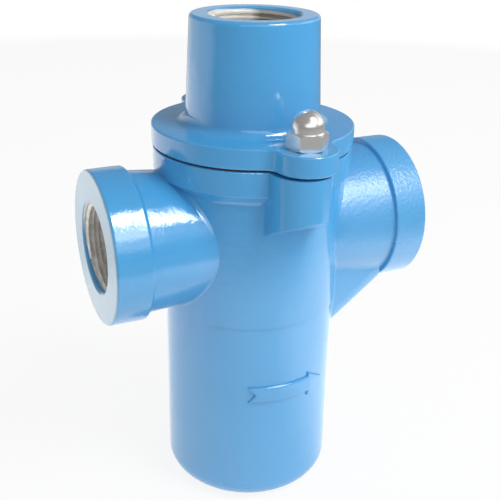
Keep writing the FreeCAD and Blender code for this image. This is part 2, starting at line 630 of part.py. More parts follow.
def cage_screws():
    """Slotted screws that hold the spring cage down on the seat plate."""
    ring_top_z = SEAT_PLATE_TOP_Z + CAGE_RING_T
    head_top_z = ring_top_z + CAGE_SCREW_HEAD_T
    tip_z = SEAT_PLATE_TOP_Z - CAGE_SCREW_DEPTH
    screw = turned([(0, tip_z), (CAGE_SCREW_R, tip_z), (CAGE_SCREW_R, ring_top_z),
                    (CAGE_SCREW_HEAD_R, ring_top_z), (CAGE_SCREW_HEAD_R, head_top_z), (0, head_top_z)])
    slot = Part.makeBox(2 * CAGE_SCREW_HEAD_R, CAGE_SCREW_SLOT, CAGE_SCREW_SLOT,
                        Vector(-CAGE_SCREW_HEAD_R, -CAGE_SCREW_SLOT / 2, head_top_z - CAGE_SCREW_SLOT))
    return Part.makeCompound(cage_screw_places(screw.cut(slot)))


# ---- Thermal element ----

def element_housing():
    """Closed metal tube of the thermal element, with a wider foot that slides in the cup."""
    floor_z = ELEMENT_Z + ELEMENT_FOOT_T
    outside = turned([(0, ELEMENT_Z), (ELEMENT_FOOT_R, ELEMENT_Z), (ELEMENT_FOOT_R, floor_z),
                      (ELEMENT_R, floor_z), (ELEMENT_R, ELEMENT_TOP_Z), (0, ELEMENT_TOP_Z)])
    plug_hole = turned([(0, ELEMENT_Z), (PLUG_R, ELEMENT_Z), (PLUG_R, floor_z), (0, floor_z)])
    return outside.cut([rod(ELEMENT_BORE_R, floor_z, ELEMENT_TOP_Z), plug_hole])


def filling_plug():
    """Plug in the foot that closes the element once it has been filled."""
    head_z = ELEMENT_Z + ELEMENT_FOOT_T
    return turned([(0, ELEMENT_Z), (PLUG_R, ELEMENT_Z), (PLUG_R, head_z), (PLUG_R + PLUG_HEAD_T, head_z),
                   (PLUG_R + PLUG_HEAD_T, head_z + PLUG_HEAD_T), (0, head_z + PLUG_HEAD_T)])


def seal_z():
    """Height of the middle of the rod seal, under the gland's shank."""
    return ELEMENT_TOP_Z - GLAND_SHANK_DEPTH - SEAL_WIRE_R


def thermal_charge():
    """Expanding charge that fills the element round the lower end of the push rod."""
    bottom_z = ELEMENT_Z + ELEMENT_FOOT_T + PLUG_HEAD_T
    top_z = seal_z() - SEAL_WIRE_R
    bore_r = ROD_R + ROD_CHARGE_CLEARANCE
    return rod(ELEMENT_BORE_R, bottom_z, top_z).cut(rod(bore_r, ROD_BOTTOM_Z - ROD_STROKE_ROOM, top_z))


def element_gland():
    """Hexagonal gland screwed into the element's open end, which guides the push rod."""
    shank = rod(ELEMENT_BORE_R, ELEMENT_TOP_Z - GLAND_SHANK_DEPTH, ELEMENT_TOP_Z)
    head = hex_bar(GLAND_ACROSS_FLATS, ELEMENT_TOP_Z, GLAND_TOP_Z)
    return shank.fuse(head).cut(rod(ROD_R + GUIDE_CLEARANCE, ELEMENT_TOP_Z - GLAND_SHANK_DEPTH, GLAND_TOP_Z))


def rod_seal():
    """Sealing ring round the push rod, between the gland and the charge."""
    inner_r = ROD_R + GUIDE_CLEARANCE
    return tube(ELEMENT_BORE_R, inner_r, seal_z() - SEAL_WIRE_R, seal_z() + SEAL_WIRE_R)


def push_rod():
    """Rod that the charge drives up against the valve disc."""
    return turned([(0, ROD_BOTTOM_Z), (ROD_R, ROD_BOTTOM_Z, ROD_R / 3), (ROD_R, ROD_TOP_Z), (0, ROD_TOP_Z)])


# ---- Overtravel spring, cup and base plate ----

def overtravel_spring():
    """Spring under the element that gives way once the valve is shut."""
    return coil(OVERTRAVEL_SPRING_R, OVERTRAVEL_WIRE_R, CUP_FLOOR_Z, OVERTRAVEL_SPRING_LENGTH,
                OVERTRAVEL_SPRING_TURNS)


def spring_cup():
    """Cup that holds the overtravel spring and the element's foot; its flange rests on the base plate."""
    outside = turned([(0, CUP_FLOOR_Z - CUP_FLOOR_T), (CUP_R, CUP_FLOOR_Z - CUP_FLOOR_T),
                      (CUP_R, BASE_PLATE_TOP_Z), (CUP_FLANGE_R, BASE_PLATE_TOP_Z), (CUP_FLANGE_R, CUP_TOP_Z),
                      (0, CUP_TOP_Z)])
    groove = tube(CUP_BORE_R + CUP_RING_DEPTH, ELEMENT_R, CUP_RING_Z, CUP_RING_Z + CUP_RING_T)
    return outside.cut([rod(CUP_BORE_R, CUP_FLOOR_Z, CUP_TOP_Z), groove])


def cup_ring():
    """Snap ring in the cup's groove that keeps the element's foot down."""
    gap = Part.makeBox(CUP_R, 2 * CUP_WALL, CUP_RING_T, Vector(0, -CUP_WALL, CUP_RING_Z))
    return tube(CUP_BORE_R + CUP_RING_DEPTH, ELEMENT_R + CUP_CLEARANCE, CUP_RING_Z,
                CUP_RING_Z + CUP_RING_T).cut(gap)


def base_plate():
    """Plate at the foot of the three posts, cut away between them for the flow."""
    plate = tube(BASE_PLATE_R, CUP_R + BASE_PLATE_HOLE_CLEARANCE, BASE_PLATE_Z, BASE_PLATE_TOP_Z)
    window_x = BASE_PLATE_R + BASE_PLATE_WINDOW_R - BASE_PLATE_WINDOW_REACH
    windows = around(rod(BASE_PLATE_WINDOW_R, BASE_PLATE_Z, BASE_PLATE_TOP_Z, x=window_x), POST_COUNT,
                     180 / POST_COUNT)
    return plate.cut(post_places(rod(POST_THREAD_R, BASE_PLATE_Z, BASE_PLATE_TOP_Z)) + windows)


def cage_posts():
    """Three posts from the seat plate down to the base plate, turned down to a thread at each end."""
    post = turned([(0, BASE_PLATE_Z - POST_END_LENGTH), (POST_THREAD_R, BASE_PLATE_Z - POST_END_LENGTH),
                   (POST_THREAD_R, BASE_PLATE_TOP_Z), (POST_R, BASE_PLATE_TOP_Z), (POST_R, SEAT_SPIGOT_Z),
                   (POST_THREAD_R, SEAT_SPIGOT_Z), (POST_THREAD_R, SEAT_SPIGOT_Z + POST_SOCKET_DEPTH),
                   (0, SEAT_SPIGOT_Z + POST_SOCKET_DEPTH)])
    return Part.makeCompound(post_places(post))


def post_nuts():
    """Nuts under the base plate, one on each post."""
    nut = hex_bar(POST_NUT_ACROSS_FLATS, BASE_PLATE_Z - POST_NUT_T, BASE_PLATE_Z).cut(
        rod(POST_THREAD_R, BASE_PLATE_Z - POST_NUT_T, BASE_PLATE_Z))
    return Part.makeCompound(post_places(nut))


# ---- Strainer ----

def strainer_screen():
    """Screen round the upper chamber, from the seat plate to the cover's spigot."""
    return tube(SCREEN_R, SCREEN_R - SCREEN_T, SEAT_PLATE_TOP_Z, SPIGOT_Z)


def strainer_base_ring():
    """Ring at the foot of the screen."""
    return tube(SCREEN_RING_R, SCREEN_R, SEAT_PLATE_TOP_Z, SEAT_PLATE_TOP_Z + SCREEN_RING_T)


def strainer_top_ring():
    """Ring at the top of the screen, held down by the cover's spigot."""
    return tube(SCREEN_RING_R, SCREEN_R, SPIGOT_Z - SCREEN_RING_T, SPIGOT_Z)


NODES = {
    "body": body,
    "cover": cover,
    "cover_gasket": cover_gasket,
    "cover_studs": cover_studs,
    "cap_nuts": cap_nuts,
    "seat_plate": seat_plate,
    "seat_gasket": seat_gasket,
    "valve_disc": valve_disc,
    "valve_stem": valve_stem,
    "stem_nut": stem_nut,
    "spring_plate": spring_plate,
    "return_spring": return_spring,
    "spring_cage": spring_cage,
    "cage_screws": cage_screws,
    "element_housing": element_housing,
    "filling_plug": filling_plug,
    "thermal_charge": thermal_charge,
    "element_gland": element_gland,
    "rod_seal": rod_seal,
    "push_rod": push_rod,
    "overtravel_spring": overtravel_spring,
    "spring_cup": spring_cup,
    "cup_ring": cup_ring,
    "base_plate": base_plate,
    "cage_posts": cage_posts,
    "post_nuts": post_nuts,
    "strainer_screen": strainer_screen,
    "strainer_base_ring": strainer_base_ring,
    "strainer_top_ring": strainer_top_ring,
}

os.makedirs("parts", exist_ok=True)
for name, build in NODES.items():
    shape = build()
    shape.exportStep(f"parts/{name}.step")
    print(name, len(shape.Solids), shape.isValid(), round(shape.Volume, 1))
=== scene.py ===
"""Finishes, threads, springs, strainer holes and studio of a screwed steam trap."""

import json
import logging
import math
from collections.abc import Iterable, Mapping, Sequence
from dataclasses import dataclass
from enum import Enum

import bmesh
import bpy
import numpy as np
from mathutils import Matrix, Vector


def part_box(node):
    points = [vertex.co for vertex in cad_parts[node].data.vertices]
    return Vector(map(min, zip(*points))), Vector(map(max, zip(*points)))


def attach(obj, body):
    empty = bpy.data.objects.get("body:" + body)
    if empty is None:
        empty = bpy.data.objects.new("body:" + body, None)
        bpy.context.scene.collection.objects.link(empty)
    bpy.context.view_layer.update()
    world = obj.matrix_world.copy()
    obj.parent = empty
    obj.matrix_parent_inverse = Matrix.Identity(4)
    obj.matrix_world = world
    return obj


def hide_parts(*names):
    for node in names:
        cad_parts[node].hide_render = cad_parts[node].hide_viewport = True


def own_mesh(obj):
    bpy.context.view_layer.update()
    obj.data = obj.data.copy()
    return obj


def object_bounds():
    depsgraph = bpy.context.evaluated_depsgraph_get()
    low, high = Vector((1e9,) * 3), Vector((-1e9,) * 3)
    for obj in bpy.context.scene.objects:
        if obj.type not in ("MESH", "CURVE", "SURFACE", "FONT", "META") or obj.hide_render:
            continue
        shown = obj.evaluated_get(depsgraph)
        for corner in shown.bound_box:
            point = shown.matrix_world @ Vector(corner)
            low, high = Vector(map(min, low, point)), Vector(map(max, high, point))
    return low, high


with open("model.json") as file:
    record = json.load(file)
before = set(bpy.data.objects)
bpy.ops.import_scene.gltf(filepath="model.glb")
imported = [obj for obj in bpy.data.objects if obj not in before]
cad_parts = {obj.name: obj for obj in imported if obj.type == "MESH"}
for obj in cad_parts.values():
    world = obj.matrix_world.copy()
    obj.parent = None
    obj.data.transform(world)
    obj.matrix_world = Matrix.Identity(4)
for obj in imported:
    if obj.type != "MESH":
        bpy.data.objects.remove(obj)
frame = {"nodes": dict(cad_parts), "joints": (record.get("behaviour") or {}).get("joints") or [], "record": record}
CAD_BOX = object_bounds()
INLET = next(mount for mount in frame["record"]["mounts"] if mount["name"] == "inlet_port")

log = logging.getLogger("steam_trap")

MM = 0.001
SAME_POINT = 0.001 * MM
HARD_EDGE = 0.2 * MM
Colour = tuple[float, float, float]
Settings = Mapping[str, object]
Inputs = Mapping[str | int, object]
Socket = bpy.types.NodeSocket
WHITE: Colour = (1.0, 1.0, 1.0)


# ---- Node trees ----

class Number:
    """A number in a node tree, on which Python's operators add Math nodes."""

    def __init__(self, tree: "Tree", socket: Socket) -> None:
        """Wrap an output.

        Args:
            tree: Tree that the output belongs to.
            socket: Output that carries the number.
        """
        self.tree = tree
        self.socket = socket

    def maths(self, operation: str, *terms: "Number | float", clamp: bool = False) -> "Number":
        """Add a Math node.

        Args:
            operation: The node's operation.
            terms: Its inputs, in order.
            clamp: Whether the result is kept between 0 and 1.

        Returns:
            The result.
        """
        settings = {"operation": operation, "use_clamp": clamp}
        return self.tree.number("ShaderNodeMath", settings, dict(enumerate(terms)))

    def __add__(self, other: "Number | float") -> "Number":
        """Sum."""
        return self.maths("ADD", self, other)

    def __sub__(self, other: "Number | float") -> "Number":
        """Difference."""
        return self.maths("SUBTRACT", self, other)

    def __rsub__(self, other: float) -> "Number":
        """Difference from a plain number."""
        return self.maths("SUBTRACT", other, self)

    def __mul__(self, other: "Number | float") -> "Number":
        """Product."""
        return self.maths("MULTIPLY", self, other)

    def __truediv__(self, other: "Number | float") -> "Number":
        """Quotient."""
        return self.maths("DIVIDE", self, other)

    def __or__(self, other: "Number | float") -> "Number":
        """Larger of two numbers, so either of two masks."""
        return self.maths("MAXIMUM", self, other)

    def __and__(self, other: "Number | float") -> "Number":
        """Smaller of two numbers, so both of two masks."""
        return self.maths("MINIMUM", self, other)

    def size(self) -> "Number":
        """The number without its sign."""
        return self.maths("ABSOLUTE", self)

    def across(self, other: "Number") -> "Number":
        """Length of the diagonal over this number and another."""
        return self.maths("SQRT", self * self + other * other)

    def above(self, limit: "Number | float", soft: float = HARD_EDGE) -> "Number":
        """Mask that is 1 above a limit.

        Args:
            limit: The limit.
            soft: Width of the edge between 0 and 1.

        Returns:
            The mask.
        """
        return self.maths("MULTIPLY_ADD", self - limit, 1 / soft, 0.5, clamp=True)

    def below(self, limit: "Number | float", soft: float = HARD_EDGE) -> "Number":
        """Mask that is 1 below a limit, the opposite of the one above it."""
        return 1 - self.above(limit, soft)

    def between(self, low: float, high: float) -> "Number":
        """Mask that is 1 from one number to another."""
        return self.above(low) & self.below(high)


class Tree:
    """A node tree, with the one method that adds a node to it."""

    def __init__(self, tree: bpy.types.NodeTree) -> None:
        """Take a tree.

        Args:
            tree: Tree to add nodes to.
        """
        self.tree = tree
        self.tree.nodes.clear()

    def node(self, kind: str, settings: Settings | None = None,
             sockets: Inputs | None = None) -> bpy.types.Node:
        """Add a node.

        Args:
            kind: Type of the node.
            settings: Its properties, set first; "stops" holds a ramp's positions and colours.
            sockets: Values or links of its inputs, by name or number.

        Returns:
            The node.
        """
        node = self.tree.nodes.new(kind)
        for key, value in (settings or {}).items():
            if key == "stops":
                elements = node.color_ramp.elements
                for element, (position, colour) in zip(elements, value, strict=True):
                    element.position = position
                    element.color = (*colour, 1.0)
            else:
                setattr(node, key, value)
        for key, value in (sockets or {}).items():
            source = value.socket if isinstance(value, Number) else value
            if isinstance(source, Socket):
                self.tree.links.new(source, node.inputs[key])
            elif node.inputs[key].type == "RGBA":
                node.inputs[key].default_value = (*source, 1.0)
            else:
                node.inputs[key].default_value = source
        return node

    def part(self, kind: str, settings: Settings | None = None,
             sockets: Inputs | None = None) -> Socket:
        """Add a node and take its first output."""
        return self.node(kind, settings, sockets).outputs[0]

    def number(self, kind: str, settings: Settings | None = None,
               sockets: Inputs | None = None) -> Number:
        """Add a node and take its first output as a number."""
        return Number(self, self.part(kind, settings, sockets))

    def vector(self, x: Number | float, y: Number | float, z: Number | float) -> Socket:
        """Join three numbers into a vector."""
        return self.part("ShaderNodeCombineXYZ", {}, {0: x, 1: y, 2: z})

    def split(self, vector: Socket) -> tuple[Number, Number, Number]:
        """Split a vector into its three numbers."""
        outputs = self.node("ShaderNodeSeparateXYZ", {}, {0: vector}).outputs
        return Number(self, outputs[0]), Number(self, outputs[1]), Number(self, outputs[2])

    def camera_ray(self) -> Number:
        """Mask that is 1 for rays from the camera."""
        return Number(self, self.node("ShaderNodeLightPath").outputs["Is Camera Ray"])

    def seeing_ray(self) -> Number:
        """Mask that is 1 for rays from the camera, off gloss and through glass."""
        rays = self.node("ShaderNodeLightPath").outputs
        camera, glossy, through = (Number(self, rays[f"Is {kind} Ray"])
                                   for kind in ("Camera", "Glossy", "Transmission"))
        return camera | glossy | through


class Shader(Tree):
    """A material's tree, with its patterns in the piece's own coordinates."""

    FINER_SHARE = 0.55
    MIX_COLOURS = 6, 7
    MIX_RESULT = 2

    def __init__(self, name: str) -> None:
        """Make a material.

        Args:
            name: Name of the material.
        """
        self.material = bpy.data.materials.new(name)
        self.material.use_nodes = True
        super().__init__(self.material.node_tree)
        self.place = self.node("ShaderNodeTexCoord").outputs["Object"]

    def grain(self, size: float, detail: float = 2.0, place: Socket | None = None) -> Number:
        """Noise between 0 and 1.

        Args:
            size: Size of its features in metres.
            detail: Number of finer layers.
            place: Coordinates to use instead of the piece's own.

        Returns:
            The noise.
        """
        return self.number("ShaderNodeTexNoise", {}, {
            "Vector": place or self.place, "Scale": 1 / size, "Detail": detail,
            "Roughness": self.FINER_SHARE})

    def blended(self, mask: Number, colour: object, masked: object) -> Socket:
        """Colour that turns into another where a mask is 1."""
        first, second = self.MIX_COLOURS
        mix = self.node("ShaderNodeMix", {"data_type": "RGBA"}, {
            0: mask, first: colour, second: masked})
        return mix.outputs[self.MIX_RESULT]

    def relief(self, height: Number, depth: float) -> Socket:
        """Normal of a surface whose height runs from 0 to a depth in metres."""
        return self.part("ShaderNodeBump", {}, {
            "Strength": 1.0, "Distance": depth, "Height": height})

    def finish(self, sockets: Inputs) -> bpy.types.Material:
        """Close the tree with a Principled shader.

        Args:
            sockets: Values or links of the shader's inputs.

        Returns:
            The material.
        """
        surface = self.part("ShaderNodeBsdfPrincipled", {}, sockets)
        self.node("ShaderNodeOutputMaterial", {}, {"Surface": surface})
        return self.material


class Growth(Tree):
    """A Geometry Nodes tree with named sizes, whose result is kept as a plain mesh."""

    SOCKETS = {
        float: "NodeSocketFloat", int: "NodeSocketInt", bpy.types.Material: "NodeSocketMaterial"}

    def __init__(self, name: str, sizes: Mapping[str, type]) -> None:
        """Make the tree and its named inputs.

        Args:
            name: Name of the tree.
            sizes: Each input's name and kind.
        """
        super().__init__(bpy.data.node_groups.new(name, "GeometryNodeTree"))
        kinds = {**sizes, "Material": bpy.types.Material}
        new_socket = self.tree.interface.new_socket
        self.identifiers = {
            size: new_socket(size, in_out="INPUT", socket_type=self.SOCKETS[kind]).identifier
            for size, kind in kinds.items()}
        new_socket("Geometry", in_out="OUTPUT", socket_type="NodeSocketGeometry")
        self.inputs = self.node("NodeGroupInput").outputs

    def size(self, name: str) -> Number:
        """A named input."""
        return Number(self, self.inputs[name])

    def close(self, geometry: Socket) -> "Growth":
        """End the tree in real geometry with its material.

        Args:
            geometry: What the tree has made.

        Returns:
            The tree itself.
        """
        real = self.part("GeometryNodeRealizeInstances", {}, {0: geometry})
        dressed = self.part("GeometryNodeSetMaterial", {}, {
            "Geometry": real, "Material": self.inputs["Material"]})
        self.node("NodeGroupOutput", {}, {0: dressed})
        return self

    def mesh(self, material: bpy.types.Material, **sizes: float | int) -> bpy.types.Mesh:
        """Run the tree once.

        Args:
            material: Material of the result.
            sizes: Value of each named input.

        Returns:
            The result as a plain mesh.
        """
        holder = bpy.data.objects.new(self.tree.name, bpy.data.meshes.new(self.tree.name))
        bpy.context.scene.collection.objects.link(holder)
        modifier = holder.modifiers.new(self.tree.name, "NODES")
        modifier.node_group = self.tree
        for name, value in {**sizes, "Material": material}.items():
            modifier[self.identifiers[name]] = value
        bpy.context.view_layer.update()
        graph = bpy.context.evaluated_depsgraph_get()
        mesh = bpy.data.meshes.new_from_object(holder.evaluated_get(graph))
        bpy.data.objects.remove(holder)
        return mesh


# ---- Meshes ----

def piece(name: str, parts: Iterable[tuple[bpy.types.Mesh, Matrix]], material: bpy.types.Material,
          crease: float = 35.0) -> bpy.types.Object:
    """Join meshes into one piece at the origin.

    Args:
        name: Name of the piece.
        parts: Meshes and their places.
        material: Material of the whole piece.
        crease: Angle in degrees past which an edge stays sharp.

    Returns:
        The piece, shaded smooth between its creases.
    """
    points: list[Vector] = []
    faces: list[tuple[int, ...]] = []
    for mesh, place in parts:
        start = len(points)
        points += [place @ vertex.co for vertex in mesh.vertices]
        faces += [tuple(start + corner for corner in face.vertices) for face in mesh.polygons]
    joined = bpy.data.meshes.new(name)
    joined.from_pydata(points, [], faces)
    joined.materials.append(material)
    joined.polygons.foreach_set("use_smooth", [True] * len(faces))
    joined.set_sharp_from_angle(angle=math.radians(crease))
    result = bpy.data.objects.new(name, joined)
    bpy.context.scene.collection.objects.link(result)
    return result


def turned(outline: Sequence[tuple[float, float]], segments: int = 48) -> bpy.types.Mesh:
    """Turn an outline about Z.

    Args:
        outline: Radii and heights, upwards; the first and last radius are 0.
        segments: Number of sides.

    Returns:
        The closed mesh.
    """
    angles = [math.tau * side / segments for side in range(segments)]
    rims = outline[1:-1]
    last = len(rims) - 1
    points = [(0.0, 0.0, outline[0][1]), (0.0, 0.0, outline[-1][1])]
    points += [(radius * math.cos(angle), radius * math.sin(angle), height)
               for radius, height in rims for angle in angles]
    faces = []
    for side in range(segments):
        here, there = ([2 + rim * segments + turn % segments for rim in range(last + 1)]
                       for turn in (side, side + 1))
        faces += [(0, there[0], here[0]), (1, here[last], there[last])]
        faces += [(here[rim], there[rim], there[rim + 1], here[rim + 1]) for rim in range(last)]
    mesh = bpy.data.meshes.new("turned")
    mesh.from_pydata(points, [], faces)
    return mesh


def axes_of(node: str) -> list[Vector]:
    """Centres of the separate solids in a CAD node, seen from above.

    Args:
        node: Name of the node.

    Returns:
        A point on each solid's vertical axis, at height 0.
    """
    graph = bmesh.new()
    graph.from_mesh(frame["nodes"][node].data)
    bmesh.ops.remove_doubles(graph, verts=graph.verts, dist=SAME_POINT)
    centres, seen = [], set()
    for start in graph.verts:
        group, waiting = [], [start]
        while waiting:
            vertex = waiting.pop()
            if vertex not in seen:
                seen.add(vertex)
                group.append(vertex.co.copy())
                waiting += [edge.other_vert(vertex) for edge in vertex.link_edges]
        if group:
            low, high = np.min(group, axis=0), np.max(group, axis=0)
            centres.append(Vector(((low[0] + high[0]) / 2, (low[1] + high[1]) / 2, 0.0)))
    graph.free()
    return centres


def dress(nodes: Iterable[str], material: bpy.types.Material) -> None:
    """Give CAD nodes a material.

    Args:
        nodes: Names of the nodes.
        material: The material.
    """
    for node in nodes:
        for slot in frame["nodes"][node].material_slots:
            slot.material = material
        log.info("dressed %s with %s", node, material.name)


def hand_over(result: bpy.types.Object, body: str, replaced: str | None = None) -> None:
    """Tie a finished piece to the frame.

    Args:
        result: The piece.
        body: Body that it rides on.
        replaced: CAD node that it stands for.
    """
    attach(result, body)
    if replaced:
        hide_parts(replaced)
    log.info("piece %s on %s: %d faces", result.name, body, len(result.data.polygons))


# ---- Finishes ----

@dataclass(frozen=True)
class BareIron:
    """Machined grey iron, mottled, with painted light and painted shade in the top bore."""

    bright: Colour = (0.94, 0.92, 0.87)
    dark: Colour = (0.60, 0.575, 0.53)
    bright_above: float = 0.75
    dark_below: float = 0.25
    metallic: float = 0.3
    roughness: float = 0.36
    mottle: float = 3 * MM
    # Brown of the painted shade down the +X side of the top bore; the three fields below place it and set its
    # share.
    stain: Colour = (0.17, 0.15, 0.13)
    painted_shade_strength: float = 0.65
    painted_shade_from: float = 9 * MM
    painted_shade_edge: float = 4 * MM
    top_bore_from: float = 200 * MM
    # The top bore's height and the share of painted light that brightens it.
    top_bore_painted_light: float = 0.7

    def colour(self, shader: Shader) -> Socket:
        """Mottled colour, with painted light brightening the top bore and brown painted shade down its +X side.

        Args:
            shader: Tree to build the colour in.

        Returns:
            The colour.
        """
        stops = [(self.dark_below, self.dark), (self.bright_above, self.bright)]
        grain = shader.grain(self.mottle, detail=4.0)
        clean = shader.part("ShaderNodeValToRGB", {"stops": stops}, {0: grain})
        x, _, z = shader.split(shader.place)
        top_bore = z.above(self.top_bore_from)
        # Painted light: the top bore is lifted towards the bright colour.
        clean = shader.blended(top_bore * self.top_bore_painted_light, clean, self.bright)
        # Painted shade: the +X side of the top bore is darkened towards brown.
        painted_shade_side = x.above(self.painted_shade_from, self.painted_shade_edge) & top_bore
        return shader.blended(painted_shade_side * self.painted_shade_strength, clean, self.stain)


@dataclass(frozen=True)
class Hollows:
    """Where the casting is bare: chambers, bores, the slanted passage and the joint faces."""

    paint_reach: float = 1.2 * MM
    paint_least: float = 0.6 * MM
    paint_ragged: float = 2.8 * MM
    paint_patch: float = 12 * MM
    paint_lean: float = 0.07
    neck_lean: float = 0.04
    into_wall: float = 3.0 * MM
    into_floor: float = 5.0 * MM
    joint_face: float = 0.2 * MM
    joint_rim: float = 1.5 * MM
    collar_length: float = 16.8 * MM
    port_neck_radius: float = 34.0 * MM
    hood_slope: float = math.radians(37.3)
    hood_half_width: float = 22.5 * MM
    hood_wall_middle: float = 2.5 * MM
    spigot_reach: float = 6.0 * MM

    def mask(self, shader: Shader) -> Number:
        """Mask that is 1 on bare metal.

        Args:
            shader: Tree to build the mask in.

        Returns:
            The mask.
        """
        x, y, z = shader.split(shader.place)
        bore = INLET["dims"]["r_mm"] * MM + self.into_wall
        port_z = INLET["pos_m"][2]
        face_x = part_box("body")[1].x
        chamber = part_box("seat_plate")[1].x + self.into_wall
        joint = [corner.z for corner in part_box("cover_gasket")]
        from_axis = x.across(y)
        ragged = (shader.grain(self.paint_patch, detail=5.0) - 0.5) * self.paint_ragged
        reach = ragged + self.paint_reach
        run = (reach - (z - port_z) * self.paint_lean) | self.paint_least
        ports = y.across(z - port_z).below(bore) & (x.size() + run).below(face_x)
        run = (reach + x * self.neck_lean) | self.paint_least
        neck = from_axis.below(bore) & z.above(joint[1]) & (z + run).below(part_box("cover")[1].z)
        spigot = from_axis.below(chamber) & z.between(joint[0], joint[1] + self.spigot_reach)
        barrel = from_axis.below(chamber) & z.between(self.into_floor, joint[1])
        faces = (z.between(joint[0] - self.joint_face, joint[1] + self.joint_face)
                 & from_axis.below(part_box("cover_gasket")[1].x - self.joint_rim))
        foot_x = face_x - self.collar_length
        foot_z = port_z - self.port_neck_radius
        above_hood = ((z - foot_z) * math.cos(self.hood_slope)
                      - (x - foot_x) * math.sin(self.hood_slope))
        passage = (above_hood.above(self.hood_wall_middle) & y.size().below(self.hood_half_width)
                   & z.below(port_z) & x.between(bore, foot_x))
        return ports | neck | spigot | barrel | faces | passage


@dataclass(frozen=True)
class Enamel:
    """Gloss enamel over the uneven skin of a casting."""

    colour: Colour = (0.074, 0.360, 0.70)
    shade: Colour = (0.057, 0.320, 0.64)
    shade_patch: float = 35 * MM
    roughness: float = 0.12
    refraction: float = 1.9
    peel: float = 1.5 * MM
    peel_depth: float = 0.07 * MM
    dry_from: float = 32 * MM
    dry_side_edge: float = 15 * MM
    dry_above: float = -8 * MM
    dry_low_edge: float = 12 * MM
    dry_peel: float = 2.2
    dry_roughness: float = 0.23
    skin: float = 9 * MM
    skin_depth: float = 0.16 * MM
    # Greyer colour of the port faces: a painted reflection, the pale glare the faces show at a grazing angle.
    face: Colour = (0.22, 0.42, 0.58)
    face_depth: float = 0.4 * MM
    iron: BareIron = BareIron()
    hollows: Hollows = Hollows()

    def material(self) -> bpy.types.Material:
        """Build the material, drier on the outlet port and greyer on the port faces, a painted reflection.

        Returns:
            The material.
        """
        shader = Shader("enamelled_casting")
        bare = self.hollows.mask(shader)
        paint = shader.blended(shader.grain(self.shade_patch, detail=3.0), self.colour, self.shade)
        x, _, z = shader.split(shader.place)
        face = x.size().above(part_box("body")[1].x - self.face_depth)
        dry_height = INLET["pos_m"][2] + self.dry_above
        dry = (x.above(self.dry_from, self.dry_side_edge) & z.above(dry_height, self.dry_low_edge)
               & z.below(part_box("body")[1].z) & (1 - face))
        # Painted reflection: the port faces are greyed towards the face colour.
        paint = shader.blended(face, paint, self.face)
        peel = (shader.grain(self.peel) - 0.5) * (dry * self.dry_peel + 1.0)
        height = shader.grain(self.skin, detail=3.0) + peel * (self.peel_depth / self.skin_depth)
        gloss = dry * self.dry_roughness + self.roughness
        return shader.finish({
            "Base Color": shader.blended(bare, paint, self.iron.colour(shader)),
            "Metallic": bare * self.iron.metallic,
            "Roughness": bare * (self.iron.roughness - gloss) + gloss,
            "IOR": self.refraction,
            "Normal": shader.relief(height, self.skin_depth)})


class Marks(Enum):
    """What the surface of a metal piece shows up close."""

    TURNED = "rings about the barrel's axis"
    ROLLED = "fine even grain"


@dataclass(frozen=True)
class Metal:
    """Bare metal with fine tool marks and a light stain."""

    name: str
    colour: Colour
    roughness: float
    marks: Marks = Marks.ROLLED
    metallic: float = 1.0
    mark: float = 0.5 * MM
    mark_depth: float = 0.003 * MM
    stain: float = 0.1
    stain_patch: float = 12 * MM

    def material(self) -> bpy.types.Material:
        """Build the material."""
        shader = Shader(self.name)
        x, y, z = shader.split(shader.place)
        rings = shader.vector(x.across(y), z, 0.0) if self.marks is Marks.TURNED else None
        marks = shader.grain(self.mark, detail=1.0, place=rings)
        stain = shader.grain(self.stain_patch, detail=3.0)
        dull = tuple(channel * (1 - 2 * self.stain) for channel in self.colour)
        return shader.finish({
            "Base Color": shader.blended(stain, self.colour, dull),
            "Metallic": self.metallic,
            "Roughness": stain * self.stain + self.roughness,
            "Normal": shader.relief(marks, self.mark_depth)})


@dataclass(frozen=True)
class Matt:
    """Plain matt stuff: gasket sheet, rubber or wax."""

    name: str
    light: Colour
    dark: Colour
    roughness: float
    fleck: float
    depth: float
    rougher: float = 0.15

    def material(self) -> bpy.types.Material:
        """Build the material."""
        shader = Shader(self.name)
        flecks = shader.grain(self.fleck, detail=4.0)
        return shader.finish({
            "Base Color": shader.blended(flecks, self.dark, self.light),
            "Roughness": flecks * self.rougher + self.roughness,
            "Normal": shader.relief(flecks, self.depth)})


STAINLESS = Metal("turned_stainless", (0.62, 0.61, 0.59), roughness=0.24, marks=Marks.TURNED)


# ---- Threads and springs ----

